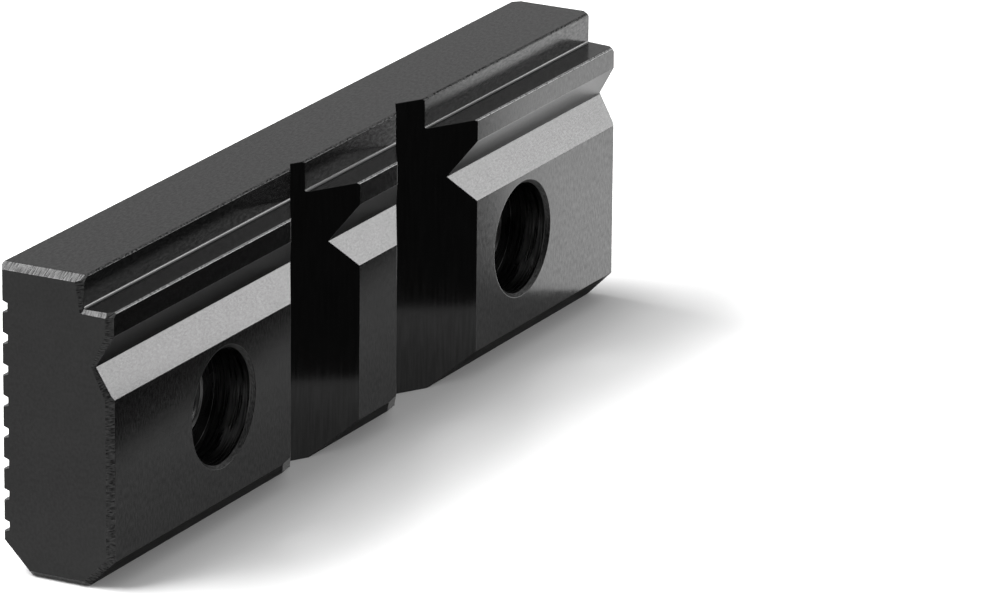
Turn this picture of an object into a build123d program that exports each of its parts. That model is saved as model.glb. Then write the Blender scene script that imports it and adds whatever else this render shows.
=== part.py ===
from build123d import *
import os
from math import hypot, radians, tan

# Prismatic jaw plate for a machine vise, milled and ground from one bar of tool steel.
# Frame: +X along the jaw, +Y from the prismatic face to the serrated face, +Z up,
# origin in the middle of the bottom face. Millimetres.

# Bar.
jaw_length = 135.0
jaw_height = 40.0
jaw_thickness = 16.0
foot_chamfer = 3.8
edge_break = 0.22

# Ledge along the top of the prismatic face, for thin work.
ledge_drop = 4.1
ledge_depth = 4.1
ledge_fillet = 0.3

# Ends: a bevel ground by hand all round the section, so each side has its own: its reach along
# the jaw, its reach across the end, and the share of both that is left at an inside corner,
# which the wheel gets into less. It also takes off the points of the square corners.
near_bevels = {
    "bottom": (1.2, 0.8, 1),
    "back_foot": (1.1, 0.8, 1),
    "back": (1.0, 0.6, 1),
    "top": (1.3, 0.7, 1),
    "step": (0.72, 1.1, 0.35),
    "ledge": (0.45, 0.65, 0.85),
    "strip": (0.72, 0.87, 1),
    "prism_roof": (0.75, 0.8, 0.55),
    "prism_floor": (0.55, 0.8, 0.55),
    "front": (0.8, 0.87, 1),
    "front_foot": (0.85, 0.85, 1),
}
far_bevels = {
    "bottom": (0.8, 0.8, 1),
    "back_foot": (1.1, 0.8, 1),
    "back": (0.85, 0.6, 1),
    "top": (0.25, 0.4, 1),
    "step": (0.9, 0.7, 1),
    "ledge": (1.3, 0.9, 0.55),
    "strip": (1.27, 0.9, 1),
    "prism_roof": (1.4, 0.6, 0.7),
    "prism_floor": (0.85, 0.6, 0.7),
    "front": (1.1, 0.9, 1),
    "front_foot": (0.85, 0.85, 1),
}
near_points = {"top": (1.5, 1.2), "step": (1.5, 1.2), "strip": (1.5, 1.25)}
far_points = {"top": (1.3, 1.4), "step": (1.3, 1.4), "strip": (1.9, 2.0)}

# Prisms: one long V along the jaw and two upright ones, all with the same included angle.
# A plain land parts the long one from the ledge above it. The sharp tips that the upright ones
# leave at the foot are broken on the near side, along the jaw and up the edge of the V.
prism_angle = 120.0
long_prism_width = 8.2
long_prism_land = 3.0
small_prism_width = 18.0
small_prism_x = -14.0
large_prism_width = 22.0
large_prism_x = 16.0
foot_tip_along = 2.0
foot_tip_up = 0.4

# Serrations along the back face, from a plain land at the top down: as many as leave a land
# above the foot chamfer too.
serration_top_land = 4.5
serration_foot_land = 1.0
serration_pitch = 4.05
serration_width = 2.0
serration_floor = 1.1
serration_depth = 1.3

# Screw holes, with a seat for the screw's head behind either face, so that either can clamp.
# They sit as high as the long prism lets them, with a narrow land between the two.
hole_spacing = 80.0
hole_rim_land = 0.75
screw_hole_diameter = 9.0
head_bore_diameter = 15.0
front_seat_depth = 5.75
back_seat_depth = 5.5
front_countersink = 0.5
back_countersink = 1.1
seat_edge_break = 0.3

# How far the cutting shapes reach past the faces they cut.
overrun = 2.0

front = -jaw_thickness / 2
back = jaw_thickness / 2
near_end = -jaw_length / 2
far_end = jaw_length / 2
ledge_y = front + ledge_depth
ledge_z = jaw_height - ledge_drop
long_prism_z = ledge_z - long_prism_land - long_prism_width / 2
rim_radius = head_bore_diameter / 2 + front_countersink
hole_z = long_prism_z - long_prism_width / 2 - hole_rim_land - rim_radius
serration_z = jaw_height - serration_top_land - serration_width / 2
lowest_serration_z = foot_chamfer + serration_foot_land + serration_width / 2
serration_count = int((serration_z - lowest_serration_z) / serration_pitch) + 1


def prism_depth(width):
    """Depth of a V groove of this width."""
    return width / 2 / tan(radians(prism_angle / 2))


# Corners of the section as y and z, anticlockwise seen from +X. Each has the name of the side
# that starts at it.
section = {
    "bottom": (front + foot_chamfer, 0),
    "back_foot": (back - foot_chamfer, 0),
    "back": (back, foot_chamfer),
    "top": (back, jaw_height),
    "step": (ledge_y, jaw_height),
    "ledge": (ledge_y, ledge_z),
    "strip": (front, ledge_z),
    "prism_roof": (front, long_prism_z + long_prism_width / 2),
    "prism_floor": (front + prism_depth(long_prism_width), long_prism_z),
    "front": (front, long_prism_z - long_prism_width / 2),
    "front_foot": (front, foot_chamfer),
}

# The section as convex blocks that overlap or touch: the corners of each, and its outer sides.
upper_block = (
    [(ledge_y, long_prism_z), (back, long_prism_z), section["top"], section["step"]],
    ["back", "top", "step"],
)
strip_block = (
    [section["prism_floor"], (back, long_prism_z), (back, ledge_z), section["strip"], section["prism_roof"]],
    ["back", "ledge", "strip", "prism_roof"],
)
lower_block = (
    [section[side] for side in ("prism_floor", "front", "front_foot", "bottom", "back_foot", "back")]
    + [(back, long_prism_z)],
    ["prism_floor", "front", "front_foot", "bottom", "back_foot", "back"],
)


def side_ends(side):
    """Corners where a side of the section starts and finishes."""
    sides = list(section)
    return section[side], section[sides[(sides.index(side) + 1) % len(sides)]]


def direction(side):
    """Unit direction of a side of the section, as y and z."""
    start, finish = side_ends(side)
    length = hypot(finish[0] - start[0], finish[1] - start[1])
    return (finish[0] - start[0]) / length, (finish[1] - start[1]) / length


def cut_flat(body, first, second, third):
    """The body without the part beyond the plane through three points. Its middle stays."""
    normal = (second - first).cross(third - first)
    if (body.center() - first).dot(normal) > 0:
        normal = -normal
    return split(body, bisect_by=Plane(first, z_dir=normal), keep=Keep.BOTTOM)


def bevel_end(body, side, end, inwards, bevels):
    """Grinds one side's bevel at the end that lies at this x. The body lies inwards of it."""
    along, across, share = bevels[side]
    start, finish = side_ends(side)
    start_share = share if side in ("ledge", "prism_floor") else 1
    finish_share = share if side in ("step", "prism_roof") else 1
    run_y, run_z = direction(side)
    return cut_flat(
        body,
        Vector(end + inwards * along * start_share, *start),
        Vector(end, start[0] - run_z * across * start_share, start[1] + run_y * across * start_share),
        Vector(end + inwards * along * finish_share, *finish),
    )


def block(corners, sides):
    """One convex block of the bar, with its edges broken and its ends bevelled."""
    outline = Wire.make_polygon([Vector(near_end, y, z) for y, z in corners], close=True)
    body = extrude(Face(outline), amount=jaw_length, dir=(1, 0, 0))
    for side in sides:
        body = bevel_end(body, side, near_end, 1, near_bevels)
        body = bevel_end(body, side, far_end, -1, far_bevels)
    for arriving, leaving in zip(sides, sides[1:]):
        if leaving not in near_points:
            continue
        y, z = section[leaving]
        back_y, back_z = (-part for part in direction(arriving))
        on_y, on_z = direction(leaving)
        body = cut_flat(
            body,
            Vector(near_end, y + edge_break * back_y, z + edge_break * back_z),
            Vector(near_end, y + edge_break * on_y, z + edge_break * on_z),
            Vector(far_end, y + edge_break * on_y, z + edge_break * on_z),
        )
        for end, inwards, points in ((near_end, 1, near_points), (far_end, -1, far_points)):
            along, across = points[leaving]
            body = cut_flat(
                body,
                Vector(end + inwards * along, y, z),
                Vector(end, y + across * back_y, z + across * back_z),
                Vector(end, y + across * on_y, z + across * on_z),
            )
    return body


def blank():
    """The bar with its ledge, long prism, foot chamfers and bevelled ends."""
    body = block(*upper_block) + block(*strip_block) + block(*lower_block)
    inside_edge = body.edges().sort_by_distance((0, ledge_y, ledge_z))[0]
    return fillet(inside_edge, radius=ledge_fillet)


def upright_prism(x, width):
    """Cutter for a V groove up the prismatic face, past the bottom and the top."""
    depth = prism_depth(width)
    spread = overrun * width / 2 / depth
    profile = Wire.make_polygon([
        Vector(x - width / 2 - spread, front - overrun, -overrun),
        Vector(x + width / 2 + spread, front - overrun, -overrun),
        Vector(x, front + depth, -overrun),
    ], close=True)
    return extrude(Face(profile), amount=jaw_height + 2 * overrun, dir=(0, 0, 1))


def foot_tip(x, width):
    """Cutter for the sharp tip that an upright prism's near wall makes with the foot chamfer."""
    rise = 1 / tan(radians(prism_angle / 2))
    corner = Vector(x - width / 2, front, foot_chamfer)
    edge = Vector(foot_chamfer / rise, foot_chamfer, -foot_chamfer)
    across = Vector(foot_tip_along, 0, foot_tip_up)
    middle = corner + edge / 2 - Vector(foot_tip_along, 0, 0)
    plane = Plane(origin=middle, x_dir=edge, z_dir=edge.cross(across))
    cutter = Box(
        edge.length + 2 * overrun,
        3 * foot_tip_along,
        overrun,
        align=(Align.CENTER, Align.CENTER, Align.MIN),
    )
    return plane * cutter


def serration(z):
    """Cutter for one groove along the back face: a flat floor between sloping flanks."""
    spread = overrun * (serration_width - serration_floor) / 2 / serration_depth
    start = near_end - overrun
    profile = Wire.make_polygon([
        Vector(start, back - serration_depth, z - serration_floor / 2),
        Vector(start, back + overrun, z - serration_width / 2 - spread),
        Vector(start, back + overrun, z + serration_width / 2 + spread),
        Vector(start, back - serration_depth, z + serration_floor / 2),
    ], close=True)
    return extrude(Face(profile), amount=jaw_length + 2 * overrun, dir=(1, 0, 0))


def screw_hole(x):
    """Cutter for one screw hole with both of its head bores, turned about the hole's axis."""
    hole_r = screw_hole_diameter / 2
    head_r = head_bore_diameter / 2
    front_seat = front + front_seat_depth
    back_seat = back - back_seat_depth
    half_section = [
        (0, front - overrun),
        (head_r + front_countersink + overrun, front - overrun),
        (head_r, front + front_countersink),
        (head_r, front_seat),
        (hole_r + seat_edge_break, front_seat),
        (hole_r, front_seat + seat_edge_break),
        (hole_r, back_seat - seat_edge_break),
        (hole_r + seat_edge_break, back_seat),
        (head_r, back_seat),
        (head_r, back - back_countersink),
        (head_r + back_countersink + overrun, back + overrun),
        (0, back + overrun),
    ]
    profile = Wire.make_polygon([Vector(x + r, y, hole_z) for r, y in half_section], close=True)
    return revolve(Face(profile), axis=Axis((x, 0, hole_z), (0, 1, 0)))


def jaw():
    body = blank()
    body -= upright_prism(small_prism_x, small_prism_width)
    body -= upright_prism(large_prism_x, large_prism_width)
    body -= foot_tip(small_prism_x, small_prism_width)
    body -= foot_tip(large_prism_x, large_prism_width)
    for index in range(serration_count):
        body -= serration(serration_z - index * serration_pitch)
    for side in (-1, 1):
        body -= screw_hole(side * hole_spacing / 2)
    return body


os.makedirs("parts", exist_ok=True)
export_step(jaw(), "parts/prismatic_jaw.step")
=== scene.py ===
from math import atan2, copysign, hypot, radians, remainder, tau

import bmesh
import bpy
from mathutils import Euler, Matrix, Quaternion, Vector


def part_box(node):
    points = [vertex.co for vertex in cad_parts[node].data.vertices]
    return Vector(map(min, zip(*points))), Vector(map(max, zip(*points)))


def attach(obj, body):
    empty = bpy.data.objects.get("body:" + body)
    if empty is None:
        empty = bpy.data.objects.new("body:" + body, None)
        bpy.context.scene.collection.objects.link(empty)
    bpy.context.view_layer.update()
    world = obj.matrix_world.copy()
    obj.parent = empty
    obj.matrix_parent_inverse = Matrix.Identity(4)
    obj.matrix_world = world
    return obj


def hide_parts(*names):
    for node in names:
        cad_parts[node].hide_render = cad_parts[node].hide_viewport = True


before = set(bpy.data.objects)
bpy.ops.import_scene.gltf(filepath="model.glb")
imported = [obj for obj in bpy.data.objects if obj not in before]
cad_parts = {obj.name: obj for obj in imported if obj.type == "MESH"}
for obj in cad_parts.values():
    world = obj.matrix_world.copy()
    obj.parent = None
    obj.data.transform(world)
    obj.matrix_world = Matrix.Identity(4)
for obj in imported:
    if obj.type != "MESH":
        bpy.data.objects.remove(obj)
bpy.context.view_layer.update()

# The jaw: one bar of tool steel, milled to its section with a ledge, a long V, two upright Vs,
# serrations and two bored screw holes, then ground where it works and black-oxidised all over.
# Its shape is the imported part's own mesh, merged; each of its faces gets the finish it was given.
low_corner, high_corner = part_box("prismatic_jaw")
end_x = high_corner.x
front_y = low_corner.y
back_y = high_corner.y
hole_x = 0.040
hole_z = 0.01595
hole_rim = 0.0087
screw_hole_rim = 0.0049
longest_bevel = 0.0021
serration_floor_y = 0.0067
ledge_corner = Vector((0.0, -0.0039, 0.0359))
ledge_fillet_reach = 0.00036
hair = 0.00001
same_point = 0.000002
same_plane = radians(0.6)
smooth_below = radians(25)
sharp_from = radians(28)
sharp_edge_radius = 0.00005
x_axis, z_axis = Vector((1, 0, 0)), Vector((0, 0, 1))


def linear(hex_colour):
    """An sRGB hex colour as linear RGBA."""
    parts = [int(hex_colour[i:i + 2], 16) / 255 for i in (1, 3, 5)]
    return [c / 12.92 if c <= 0.04045 else ((c + 0.055) / 1.055) ** 2.4 for c in parts] + [1.0]


def add(material, kind, settings, links=None):
    """Adds a node, sets its sockets and its own settings, and links sockets to outputs."""
    node = material.node_tree.nodes.new(kind)
    for key, value in settings.items():
        if isinstance(key, int) or key in node.inputs:
            node.inputs[key].default_value = value
        else:
            setattr(node, key, value)
    for key, source in (links or {}).items():
        material.node_tree.links.new(source, node.inputs[key])
    return node


# A Mix node's colour sockets go by number, because its other sockets have the same names.
colour_a, colour_b, mixed_colour = 6, 7, 2
# The oxide's skin is a little cloudy: patches a few millimetres wide, 6 % darker to 6 % lighter.
cloud_size = 0.0035
cloud_shade = (0.94, 1.06)
# The parts of their noises' range that the marks and the clouds are spread over.
cut_range = (0.32, 0.68)
cloud_range = (0.3, 0.7)


def cut_steel(name, hollow, ridge, grazing, roughness, uneven, mark, depth):
    """Tool steel with cutting marks of one length and width, and of one depth, in millimetres.

    The hollows and the ridges of the marks have their own colours and gloss. Grazing is how
    much of its mirror the steel keeps towards its edge, when it is seen almost along it."""
    mark_length, mark_width = mark
    steel = bpy.data.materials.new(name)
    steel.use_nodes = True
    steel.node_tree.nodes.clear()
    surface = add(steel, "ShaderNodeUVMap", {"uv_map": "marks"})
    stretched = add(steel, "ShaderNodeMapping",
                    {"Scale": (1000 / mark_length, 1000 / mark_width, 1)},
                    {"Vector": surface.outputs["UV"]})
    cuts = add(steel, "ShaderNodeTexNoise",
               {"noise_dimensions": "2D", "Scale": 1.0, "Detail": 2.0, "Roughness": 0.6},
               {"Vector": stretched.outputs["Vector"]})
    height = add(steel, "ShaderNodeMapRange",
                 {"From Min": cut_range[0], "From Max": cut_range[1]},
                 {"Value": cuts.outputs["Fac"]})
    cut_tone = add(steel, "ShaderNodeMix",
                   {"data_type": "RGBA", colour_a: linear(hollow), colour_b: linear(ridge)},
                   {"Factor": height.outputs["Result"]})
    place = add(steel, "ShaderNodeTexCoord", {})
    cloud = add(steel, "ShaderNodeTexNoise",
                {"Scale": 1 / cloud_size, "Detail": 5.0, "Roughness": 0.85},
                {"Vector": place.outputs["Object"]})
    shade = add(steel, "ShaderNodeMapRange",
                {"From Min": cloud_range[0], "From Max": cloud_range[1],
                 "To Min": cloud_shade[0], "To Max": cloud_shade[1]},
                {"Value": cloud.outputs["Fac"]})
    tone = add(steel, "ShaderNodeMix",
               {"data_type": "RGBA", "blend_type": "MULTIPLY", "Factor": 1.0},
               {colour_a: cut_tone.outputs[mixed_colour], colour_b: shade.outputs["Result"]})
    gloss = add(steel, "ShaderNodeMapRange",
                {"To Min": roughness - uneven, "To Max": roughness + uneven},
                {"Value": height.outputs["Result"]})
    relief = add(steel, "ShaderNodeBump", {"Strength": 1.0, "Distance": depth / 1000},
                 {"Height": height.outputs["Result"]})
    metal = add(steel, "ShaderNodeBsdfPrincipled",
                {"Metallic": 1.0, "Specular Tint": (grazing, grazing, grazing, 1.0)},
                {"Base Color": tone.outputs[mixed_colour],
                 "Roughness": gloss.outputs["Result"], "Normal": relief.outputs["Normal"]})
    add(steel, "ShaderNodeOutputMaterial", {}, {"Surface": metal.outputs["BSDF"]})
    return steel


# The finishes. Each has the axis of the bar that its cutting marks follow, or None where they
# run round a hole. Real grinding lines lie about 0.05 mm apart, too fine to show, so they are
# drawn 0.25 to 0.4 mm apart. Hand-ground scratches, file strokes and boring rings have their
# real spacing.
finishes = {
    # The top, ledge, step and back: lines along the bar in a satin black that blurs the lamps.
    "ground": (x_axis, cut_steel(
        "black_oxide_steel_ground", "#262626", "#414141", grazing=0.63,
        roughness=0.20, uneven=0.02, mark=(0.8, 0.3), depth=0.0005)),
    # The front was ground across the bar: shorter lines, which break its sheen into a fine grain.
    "front_land": (z_axis, cut_steel(
        "black_oxide_steel_ground_across", "#2d2d2d", "#3b3b3b", grazing=0.6,
        roughness=0.17, uneven=0.03, mark=(0.8, 0.3), depth=0.0005)),
    # The walls of the upright Vs were ground finest: black mirrors with long faint lines.
    "upright_prism": (z_axis, cut_steel(
        "black_oxide_steel_fine_ground", "#262626", "#2c2c2c", grazing=0.6,
        roughness=0.12, uneven=0.02, mark=(6, 0.4), depth=0.0005)),
    # The long V's lower wall: so even that it throws a lamp back as one pale band.
    "prism_floor": (x_axis, cut_steel(
        "black_oxide_steel_form_ground", "#323232", "#3b3b3b", grazing=0.6,
        roughness=0.24, uneven=0.01, mark=(0.6, 0.25), depth=0.0002)),
    # Its upper wall hangs over and is duller: a soft grey that darkens towards the root.
    "prism_roof": (x_axis, cut_steel(
        "black_oxide_steel_form_ground_dull", "#3a3a3a", "#424242", grazing=0.6,
        roughness=0.33, uneven=0.02, mark=(0.6, 0.25), depth=0.0005)),
    # Too tight for the wheel, so as the cutter left it: dull, with light caught along it as a line.
    "inner_corner": (x_axis, cut_steel(
        "black_oxide_steel_milled_corner", "#505050", "#606060", grazing=0.8,
        roughness=0.4, uneven=0.05, mark=(6, 0.3), depth=0.001)),
    # The ends were faced on a belt: short scratches that give a dull, even grain.
    "end_face": (z_axis, cut_steel(
        "black_oxide_steel_belt_ground", "#262626", "#2a2a2a", grazing=0.6,
        roughness=0.37, uneven=0.05, mark=(0.5, 0.4), depth=0.0015)),
    # The bevels were ground by hand: coarse scratches straight across, light beside dark.
    "end_bevel": (x_axis, cut_steel(
        "black_oxide_steel_hand_ground", "#161616", "#343434", grazing=0.6,
        roughness=0.35, uneven=0.1, mark=(0.8, 0.18), depth=0.01)),
    # The bevels that face up: the same scratches, with lighter colours as a painted highlight.
    "upper_end_bevel": (x_axis, cut_steel(
        "black_oxide_steel_hand_ground_painted_highlight", "#202020", "#505050", grazing=0.6,
        roughness=0.35, uneven=0.1, mark=(2, 0.17), depth=0.01)),
    # The long edges were taken off with a stone. The ledge's pale line is a painted highlight.
    "edge_break": (x_axis, cut_steel(
        "black_oxide_steel_stoned_painted_highlight", "#505050", "#808080", grazing=0.9,
        roughness=0.35, uneven=0.1, mark=(0.5, 0.3), depth=0.002)),
    # The top's edge kept its oxide, and is a dark broken line.
    "top_edge": (x_axis, cut_steel(
        "black_oxide_steel_stoned", "#141414", "#505050", grazing=0.6,
        roughness=0.35, uneven=0.1, mark=(0.5, 0.3), depth=0.002)),
    # The head bores: the boring tool's rings, 0.02 mm deep, which glint on a black wall.
    "head_bore": (None, cut_steel(
        "black_oxide_steel_bored", "#242424", "#505050", grazing=0.7,
        roughness=0.3, uneven=0.05, mark=(6, 0.3), depth=0.02)),
    # The countersinks at their mouths: chattered, so grey and rough beside the front's sheen.
    "countersink": (None, cut_steel(
        "black_oxide_steel_countersunk", "#262626", "#404040", grazing=0.6,
        roughness=0.38, uneven=0.08, mark=(0.6, 0.3), depth=0.004)),
    # The screw holes' own walls, where the screws have rubbed the oxide thin and grey.
    "screw_hole": (None, cut_steel(
        "black_oxide_steel_drilled_and_rubbed", "#303030", "#4c4c4c", grazing=0.6,
        roughness=0.3, uneven=0.05, mark=(6, 0.3), depth=0.005)),
    # The serrations as a form cutter left them: dull, with long lines along the bar.
    "serration": (x_axis, cut_steel(
        "black_oxide_steel_milled", "#2c2c2c", "#303030", grazing=0.6,
        roughness=0.35, uneven=0.05, mark=(6, 0.3), depth=0.001)),
    # The foot's chamfers are milled and dull; their near-black, with little mirror, is painted
    # shade.
    "foot": (x_axis, cut_steel(
        "black_oxide_steel_milled_painted_shade", "#121212", "#1a1a1a", grazing=0.1,
        roughness=0.45, uneven=0.05, mark=(6, 0.3), depth=0.001)),
    # The tips at the upright Vs' feet were filed off: small grey facets with coarse strokes.
    "foot_tip": (x_axis, cut_steel(
        "black_oxide_steel_filed", "#202020", "#5a5a5a", grazing=0.5,
        roughness=0.45, uneven=0.1, mark=(0.9, 0.3), depth=0.004)),
}

# Parts of a face's normal along the bar, to the back and up, by which its finish is told.
square = 0.999
slight = 0.001
serration_flank = (0.2, 0.5)
countersink_wall = (0.3, 0.95)
upper_bevel = 0.3
upright_prism_wall = 0.4
foot_chamfer = 0.6
long_prism_wall = (0.8, 0.4)
even_chamfer = 0.01


def round_the_hole(spot):
    """Distance from the nearer screw hole's axis, and the turn about it from the hole's foot."""
    across = spot.x - copysign(hole_x, spot.x)
    up = spot.z - hole_z
    return hypot(across, up), atan2(across, -up)


def finish_of(face):
    """The finish that a face of the jaw has, from where it lies and which way it looks."""
    centre = face.calc_center_median()
    along, back, up = face.normal
    from_hole = max(round_the_hole(corner.co)[0] for corner in face.verts)
    cut_along_bar = abs(along) < slight
    sunk_in_back = serration_floor_y - hair < centre.y < back_y - hair
    if cut_along_bar and sunk_in_back and (
            back > square or serration_flank[0] < back < serration_flank[1]):
        return "serration"
    if from_hole < hole_rim and abs(centre.y) < back_y - hair:
        if from_hole < screw_hole_rim:
            return "screw_hole"
        slopes = countersink_wall[0] < abs(back) < countersink_wall[1]
        return "countersink" if slopes else "head_bore"
    if abs(along) > square:
        return "end_face"
    innermost = min(abs(corner.co.x) for corner in face.verts)
    if not cut_along_bar and innermost > end_x - longest_bevel:
        return "upper_end_bevel" if up > upper_bevel else "end_bevel"
    if abs(along) > upright_prism_wall:
        return "upright_prism"
    if not cut_along_bar:
        return "foot_tip"
    if up < -foot_chamfer and abs(back) > foot_chamfer:
        return "foot"
    if back < -long_prism_wall[0] and abs(up) > long_prism_wall[1] and centre.z < ledge_corner.z:
        return "prism_floor" if up > 0 else "prism_roof"
    if (centre.yz - ledge_corner.yz).length < ledge_fillet_reach and slight < abs(back) < square:
        return "inner_corner"
    if abs(abs(back) - abs(up)) < even_chamfer:
        return "top_edge" if centre.z > ledge_corner.z else "edge_break"
    if back < -square and centre.y < front_y + hair:
        return "front_land"
    return "ground"


jaw_shape = bmesh.new()
jaw_shape.from_mesh(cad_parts["prismatic_jaw"].data)
bmesh.ops.remove_doubles(jaw_shape, verts=jaw_shape.verts, dist=same_point)
bmesh.ops.dissolve_limit(jaw_shape, angle_limit=same_plane, use_dissolve_boundaries=False,
                         verts=jaw_shape.verts, edges=jaw_shape.edges, delimit={"NORMAL"})
# The marks' map is in metres on each face: U along the marks and V across them.
marks = jaw_shape.loops.layers.uv.new("marks")
for face in jaw_shape.faces:
    finish = finish_of(face)
    face.material_index = list(finishes).index(finish)
    axis = finishes[finish][0]
    face.smooth = axis is None or finish == "inner_corner"
    for loop in face.loops:
        corner = loop.vert.co
        if axis:
            along = (axis - axis.dot(face.normal) * face.normal).normalized()
            loop[marks].uv = corner.dot(along), corner.dot(face.normal.cross(along))
        else:
            radius, turn = round_the_hole(corner)
            middle_turn = round_the_hole(face.calc_center_median())[1]
            turn = middle_turn + remainder(turn - middle_turn, tau)
            loop[marks].uv = radius * turn, corner.y - radius
for edge in jaw_shape.edges:
    edge.smooth = edge.calc_face_angle(0.0) < smooth_below
jaw_mesh = bpy.data.meshes.new("vise_jaw")
jaw_shape.to_mesh(jaw_mesh)
jaw_shape.free()
for axis, steel in finishes.values():
    jaw_mesh.materials.append(steel)
jaw = bpy.data.objects.new("vise_jaw", jaw_mesh)
bpy.context.scene.collection.objects.link(jaw)
sharp_edges = jaw.modifiers.new("sharp_edges", "BEVEL")
sharp_edges.width = sharp_edge_radius
sharp_edges.segments = 2
sharp_edges.limit_method = "ANGLE"
sharp_edges.angle_limit = sharp_from
sharp_edges.use_clamp_overlap = False
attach(jaw, "root")
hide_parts("prismatic_jaw")

# The floor: a plain sheet of matt white paper, large enough to be the backdrop too. Away from
# the jaw it glows up to white for the eye. In the steel it glows more near the jaw, as painted
# light that fills the lamps' shadow there in reflections; for the eye the floor keeps that shadow.
floor_size = 16.0
shadow_middle = (end_x, 0.004, 0)
shadow_rim = 0.002
shadow_reach = 0.014
seen_glow_outside = 0.2
# Painted light for reflections: how far and how strongly the floor glows in the steel.
painted_mirror_reach = (0.012, 0.032)
painted_mirror_glow = (0.45, 0.10)
floor_mesh = bpy.data.meshes.new("floor")
floor_shape = bmesh.new()
bmesh.ops.create_grid(floor_shape, x_segments=1, y_segments=1, size=floor_size / 2)
floor_shape.to_mesh(floor_mesh)
floor_shape.free()
floor = bpy.data.objects.new("floor", floor_mesh)
bpy.context.scene.collection.objects.link(floor)
paper = bpy.data.materials.new("paper_matt_white")
paper.use_nodes = True
paper.node_tree.nodes.clear()
place = add(paper, "ShaderNodeTexCoord", {})
either_side = add(paper, "ShaderNodeVectorMath", {"operation": "ABSOLUTE"},
                  {0: place.outputs["Object"]})
past_jaw = add(paper, "ShaderNodeVectorMath", {"operation": "SUBTRACT", 1: shadow_middle},
               {0: either_side.outputs["Vector"]})
outside = add(paper, "ShaderNodeVectorMath", {"operation": "MAXIMUM", 1: (0, 0, 0)},
              {0: past_jaw.outputs["Vector"]})
from_jaw = add(paper, "ShaderNodeVectorMath", {"operation": "LENGTH"},
               {0: outside.outputs["Vector"]})
whitened = add(paper, "ShaderNodeMapRange",
               {"interpolation_type": "SMOOTHSTEP", "From Min": shadow_rim,
                "From Max": shadow_reach, "To Min": 0.0, "To Max": seen_glow_outside},
               {"Value": from_jaw.outputs["Value"]})
# Painted light seen only in the steel: a glow of 0.45 within 12 mm of the jaw, down to 0.10 beyond
# 32 mm, which fills the lamps' shadow on the floor.
painted_mirror_light = add(paper, "ShaderNodeMapRange",
                {"From Min": painted_mirror_reach[0], "From Max": painted_mirror_reach[1],
                 "To Min": painted_mirror_glow[0], "To Max": painted_mirror_glow[1]},
                {"Value": from_jaw.outputs["Value"]})
ray = add(paper, "ShaderNodeLightPath", {})
mirrored = add(paper, "ShaderNodeMath", {"operation": "MAXIMUM"},
               {0: ray.outputs["Is Glossy Ray"], 1: ray.outputs["Is Transmission Ray"]})
seen_glow = add(paper, "ShaderNodeMath", {"operation": "MULTIPLY"},
                {0: whitened.outputs["Result"], 1: ray.outputs["Is Camera Ray"]})
glow = add(paper, "ShaderNodeMath", {"operation": "MULTIPLY_ADD"},
           {0: painted_mirror_light.outputs["Result"], 1: mirrored.outputs[0], 2: seen_glow.outputs[0]})
sheet = add(paper, "ShaderNodeBsdfPrincipled",
            {"Base Color": linear("#ececec"), "Roughness": 0.9, "Specular IOR Level": 0.0,
             "Emission Color": (1, 1, 1, 1)}, {"Emission Strength": glow.outputs[0]})
add(paper, "ShaderNodeOutputMaterial", {}, {"Surface": sheet.outputs["BSDF"]})
floor_mesh.materials.append(paper)

# The studio's white walls, which are the world's colour all round: full white to the eye and
# in the steel, and as light only a dim even fill.
wall_white = 1.0
wall_fill = 0.4
world = bpy.data.worlds.new("studio")
bpy.context.scene.world = world
world.use_nodes = True
world.node_tree.nodes.clear()
ray = add(world, "ShaderNodeLightPath", {})
mirrored = add(world, "ShaderNodeMath", {"operation": "MAXIMUM"},
               {0: ray.outputs["Is Glossy Ray"], 1: ray.outputs["Is Transmission Ray"]})
shown = add(world, "ShaderNodeMath", {"operation": "MAXIMUM"},
            {0: ray.outputs["Is Camera Ray"], 1: mirrored.outputs[0]})
level = add(world, "ShaderNodeMapRange", {"To Min": wall_fill, "To Max": wall_white},
            {"Value": shown.outputs[0]})
walls = add(world, "ShaderNodeBackground", {"Color": (1, 1, 1, 1)},
            {"Strength": level.outputs["Result"]})
add(world, "ShaderNodeOutputWorld", {}, {"Surface": walls.outputs["Background"]})

# The lamps: a wide box low on the right, which the long V throws back, one high behind for the
# upper bevels and the soft shadow, and one flat on the table past the far end, in which the
# front's far part shines.
jaw_middle = Vector((0.0, 0.0, 0.02))
right_way = Vector((0.730, -0.645, 0.217)).normalized()
right_distance = 2.0
back_way = Vector((-0.28, 0.53, 0.78)).normalized()
back_distance = 0.7
table_spot = Vector((0.14125, -0.04575, 0.0005))
table_turn = Euler((radians(180), 0, radians(-30)))


def softbox(name, spot, turn, width, height, radiance):
    """A soft lamp that the camera doesn't see, shining down its own -Z. Metres."""
    light = bpy.data.lights.new(name, "AREA")
    light.shape = "RECTANGLE"
    light.size = width
    light.size_y = height
    # Cycles makes an area lamp's radiance its watts over four times its area.
    light.energy = 4 * radiance * width * height
    lamp = bpy.data.objects.new(name, light)
    lamp.location = spot
    lamp.rotation_euler = turn
    lamp.visible_camera = False
    bpy.context.scene.collection.objects.link(lamp)


softbox("right_softbox", jaw_middle + right_distance * right_way,
        right_way.to_track_quat("Z", "Y").to_euler(), width=1.2, height=0.34, radiance=12.7)
softbox("back_softbox", jaw_middle + back_distance * back_way,
        back_way.to_track_quat("Z", "Y").to_euler(), width=0.70, height=0.38, radiance=10.0)
softbox("table_softbox", table_spot, table_turn, width=0.163, height=0.035, radiance=3.4)
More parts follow.
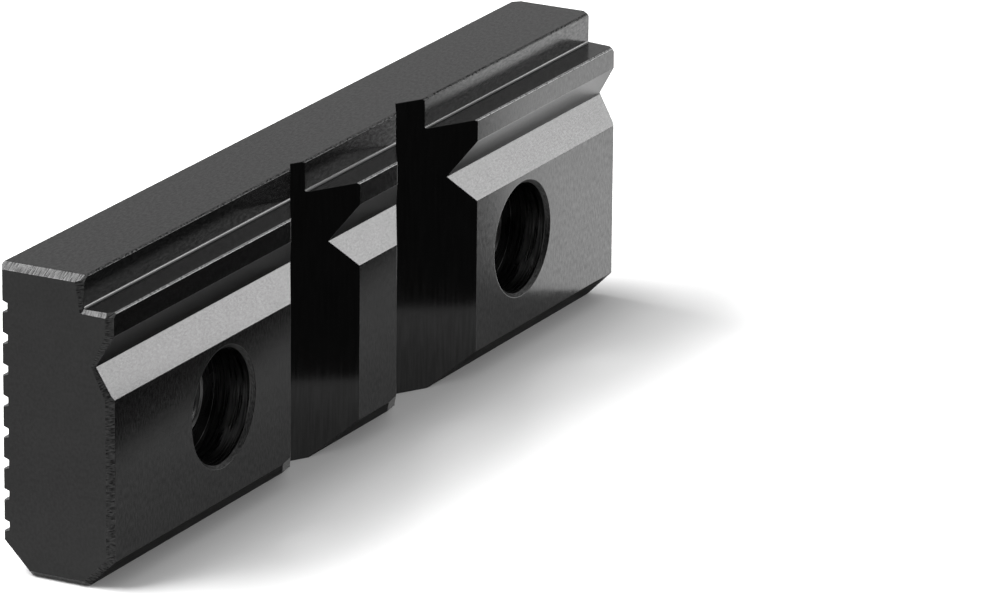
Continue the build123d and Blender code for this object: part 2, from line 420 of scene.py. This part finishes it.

# A dark card that stands on the floor in front of the jaw. It shows only in the steel, where
# the front and the upright Vs take the black of their upper parts from it. No lamp lights it:
# it glows a fixed dim grey, a painted dark reflection.
card_size = (0.135, 0.012, 0.036)
card_face_middle = (0.0207, -0.0383, 0.0)
card_turn = Euler((0, 0, radians(-5.2)))
card_glow_grey = 0.11
card_mesh = bpy.data.meshes.new("dark_card")
card_shape = bmesh.new()
bmesh.ops.create_cube(card_shape, size=1.0)
bmesh.ops.translate(card_shape, vec=(0, -0.5, 0.5), verts=card_shape.verts)
bmesh.ops.scale(card_shape, vec=card_size, verts=card_shape.verts)
bmesh.ops.rotate(card_shape, cent=(0, 0, 0), matrix=card_turn.to_matrix(),
                 verts=card_shape.verts)
bmesh.ops.translate(card_shape, vec=card_face_middle, verts=card_shape.verts)
card_shape.to_mesh(card_mesh)
card_shape.free()
card = bpy.data.objects.new("dark_card", card_mesh)
bpy.context.scene.collection.objects.link(card)
card_glow_material = bpy.data.materials.new("card_dim_grey_glow")
card_glow_material.use_nodes = True
card_glow_material.node_tree.nodes.clear()
# Painted reflection: a fixed dim grey glow, not a lit black surface.
dark = add(card_glow_material, "ShaderNodeEmission", {"Color": (card_glow_grey, card_glow_grey, card_glow_grey, 1)})
add(card_glow_material, "ShaderNodeOutputMaterial", {}, {"Surface": dark.outputs["Emission"]})
card_mesh.materials.append(card_glow_material)
card.visible_camera = False
card.visible_diffuse = False
card.visible_shadow = False
card.visible_transmission = False

# The camera: a long lens from the photograph's own viewing angle, about a metre away, left of
# the jaw's end and a little above it. It leans by the photograph's slight roll.
camera_lens = 285.75
camera_roll = 0.00981
camera_spot = Vector((-0.8543, -0.4752, 0.3366))
camera_aim = Vector((-0.03562, -0.04450, 0.03434))
camera_data = bpy.data.cameras.new("camera")
camera_data.lens = camera_lens
camera_data.sensor_width = 36.0
camera_data.clip_start = 0.05
camera = bpy.data.objects.new("camera", camera_data)
camera.location = camera_spot
level_view = (camera_spot - camera_aim).to_track_quat("Z", "Y")
camera.rotation_euler = (level_view @ Quaternion(z_axis, camera_roll)).to_euler()
bpy.context.scene.collection.objects.link(camera)
bpy.context.scene.camera = camera

bpy.context.scene.view_settings.view_transform = "Standard"
